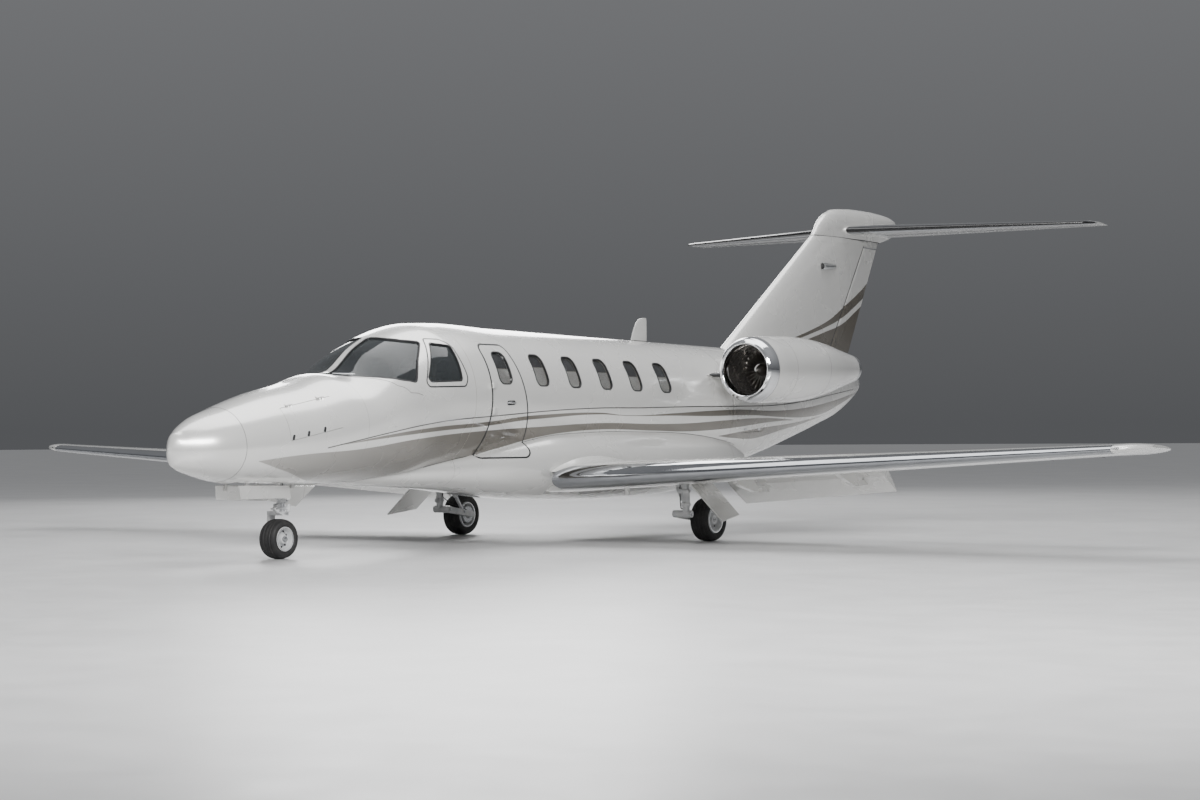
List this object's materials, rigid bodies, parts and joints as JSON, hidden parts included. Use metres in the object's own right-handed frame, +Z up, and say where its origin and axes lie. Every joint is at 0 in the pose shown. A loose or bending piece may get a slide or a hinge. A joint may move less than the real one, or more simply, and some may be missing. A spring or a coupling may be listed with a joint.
{
  "type": "light twin-engined business jet",
  "caption": "Light business jet parked on its gear: low wing, rear engines, T-tail, cabin door, flaps, control surfaces, baggage lids, steering and wheels that move.",
  "frame": {"origin": "on the ground in the plane of symmetry, half way between the nose tip and the tail's end", "axes": "+X to port, -Y to the nose, +Z up"},
  "size_m": [16.26, 15.59, 4.62],
  "materials": {
    "pearl_paint": "gloss white with taupe stripes",
    "polished_metal": "polished",
    "tyre_rubber": "matte",
    "window_glass": "tinted, glossy",
    "seat_leather": "satin",
    "cabin_carpet": "matte pile",
    "dark_plastic": "matte",
    "titanium_blades": "satin",
    "engine_metal": "satin",
    "gear_paint": "semi-gloss white"
  },
  "bodies": {
    "airframe": {"belly_fairing": "pearl_paint", "cabin_floor": "cabin_carpet", "cabin_seats": "seat_leather", "cabin_shell": "pearl_paint", "cabin_windows_left": "window_glass", "cabin_windows_right": "window_glass", "cockpit_shell": "pearl_paint", "crew_seats": "seat_leather", "dorsal_antenna": "pearl_paint", "engine_core_left": "engine_metal", "engine_core_right": "engine_metal", "fin": "pearl_paint", "fin_cap": "pearl_paint", "instrument_panel": "dark_plastic", "main_gear_door_left": "pearl_paint", "main_gear_door_right": "pearl_paint", "main_leg_left": "gear_paint", "main_leg_right": "gear_paint", "nacelle_left": "pearl_paint", "nacelle_right": "pearl_paint", "nose_cone": "pearl_paint", "nose_gear_door_left": "pearl_paint", "nose_gear_door_right": "pearl_paint", "nose_section": "pearl_paint", "nose_strut": "gear_paint", "pylon_left": "pearl_paint", "pylon_right": "pearl_paint", "side_window_left": "window_glass", "side_window_right": "window_glass", "tail_section": "pearl_paint", "tailplane": "pearl_paint", "windshield_left": "window_glass", "windshield_right": "window_glass", "wing_leading_edge_left": "polished_metal", "wing_leading_edge_right": "polished_metal", "wing_left": "pearl_paint", "wing_right": "pearl_paint"},
    "cabin_door": {"cabin_door": "pearl_paint", "door_window": "window_glass"},
    "aileron_left": {"aileron_left": "pearl_paint"},
    "aileron_right": {"aileron_right": "pearl_paint"},
    "elevator_left": {"elevator_left": "pearl_paint"},
    "elevator_right": {"elevator_right": "pearl_paint"},
    "fan_left": {"fan_left": "titanium_blades"},
    "fan_right": {"fan_right": "titanium_blades"},
    "flap_left": {"flap_left": "pearl_paint"},
    "flap_right": {"flap_right": "pearl_paint"},
    "main_wheel_left": {"main_wheel_left": "tyre_rubber"},
    "main_wheel_right": {"main_wheel_right": "tyre_rubber"},
    "nose_baggage_door_left": {"nose_baggage_door_left": "pearl_paint"},
    "nose_baggage_door_right": {"nose_baggage_door_right": "pearl_paint"},
    "nose_fork": {"nose_fork": "gear_paint"},
    "nose_wheel": {"nose_wheel": "tyre_rubber"},
    "rudder": {"rudder": "pearl_paint"},
    "tail_baggage_door": {"tail_baggage_door": "pearl_paint"}
  },
  "joints": [
    {"name": "cabin_door_hinge", "type": "hinge", "parent": "airframe", "child": "cabin_door", "pos_m": [0.884, -3.527, 1.6975], "axis": [0, 0, -1], "range_deg": [0, 100]},
    {"name": "nose_baggage_left_hinge", "type": "hinge", "parent": "airframe", "child": "nose_baggage_door_left", "pos_m": [0.48102, -6.255, 1.68325], "axis": [-0.1335, -0.9735, -0.1859], "range_deg": [0, 85]},
    {"name": "nose_baggage_right_hinge", "type": "hinge", "parent": "airframe", "child": "nose_baggage_door_right", "pos_m": [-0.48102, -6.255, 1.68325], "axis": [-0.1335, 0.9735, 0.1859], "range_deg": [0, 85]},
    {"name": "tail_baggage_hinge", "type": "hinge", "parent": "airframe", "child": "tail_baggage_door", "pos_m": [0.81833, 2.275, 1.79207], "axis": [0.0777, -0.9966, -0.0284], "range_deg": [0, 85]},
    {"name": "flap_left_hinge", "type": "hinge", "parent": "airframe", "child": "flap_left", "pos_m": [3.39, -0.98316, 0.68466], "axis": [0.991, -0.1213, 0.0557], "range_deg": [0, 35]},
    {"name": "flap_right_hinge", "type": "hinge", "parent": "airframe", "child": "flap_right", "pos_m": [-3.39, -0.98316, 0.68466], "axis": [0.991, 0.1213, -0.0557], "range_deg": [0, 35]},
    {"name": "aileron_left_hinge", "type": "hinge", "parent": "airframe", "child": "aileron_left", "pos_m": [6.085, -1.28655, 1.01107], "axis": [0.9907, -0.1256, 0.0518], "range_deg": [-20, 20]},
    {"name": "aileron_right_hinge", "type": "hinge", "parent": "airframe", "child": "aileron_right", "pos_m": [-6.085, -1.28655, 1.01107], "axis": [0.9907, 0.1256, -0.0518], "range_deg": [-20, 20]},
    {"name": "elevator_left_hinge", "type": "hinge", "parent": "airframe", "child": "elevator_left", "pos_m": [1.79, 7.30538, 4.29449], "axis": [0.982, 0.1886, 0.0058], "range_deg": [-15, 20]},
    {"name": "elevator_right_hinge", "type": "hinge", "parent": "airframe", "child": "elevator_right", "pos_m": [-1.79, 7.30538, 4.29449], "axis": [0.982, -0.1886, -0.0058], "range_deg": [-15, 20]},
    {"name": "rudder_hinge", "type": "hinge", "parent": "airframe", "child": "rudder", "pos_m": [0, 6.16118, 3.265], "axis": [0, 0.5767, 0.817], "range_deg": [-25, 25]},
    {"name": "nose_steering", "type": "hinge", "parent": "airframe", "child": "nose_fork", "pos_m": [0, -6.095, 0.465], "axis": [0, 0, 1], "range_deg": [-20, 20]},
    {"name": "nose_wheel_spin", "type": "hinge", "parent": "nose_fork", "child": "nose_wheel", "pos_m": [-0.02, -6.133, 0.215], "axis": [1, 0, 0], "continuous": true},
    {"name": "main_wheel_left_spin", "type": "hinge", "parent": "airframe", "child": "main_wheel_left", "pos_m": [1.91, -0.608, 0.265], "axis": [1, 0, 0], "continuous": true},
    {"name": "main_wheel_right_spin", "type": "hinge", "parent": "airframe", "child": "main_wheel_right", "pos_m": [-1.91, -0.608, 0.265], "axis": [1, 0, 0], "continuous": true},
    {"name": "fan_left_spin", "type": "hinge", "parent": "airframe", "child": "fan_left", "pos_m": [1.395, 1.077, 2.113], "axis": [0, -0.9998, -0.021], "continuous": true},
    {"name": "fan_right_spin", "type": "hinge", "parent": "airframe", "child": "fan_right", "pos_m": [-1.395, 1.077, 2.113], "axis": [0, -0.9998, -0.021], "continuous": true}
  ],
  "couplings": [
    {"joint": "flap_right_hinge", "follows": "flap_left_hinge", "ratio": 1},
    {"joint": "aileron_right_hinge", "follows": "aileron_left_hinge", "ratio": -1},
    {"joint": "elevator_right_hinge", "follows": "elevator_left_hinge", "ratio": 1}
  ]
}
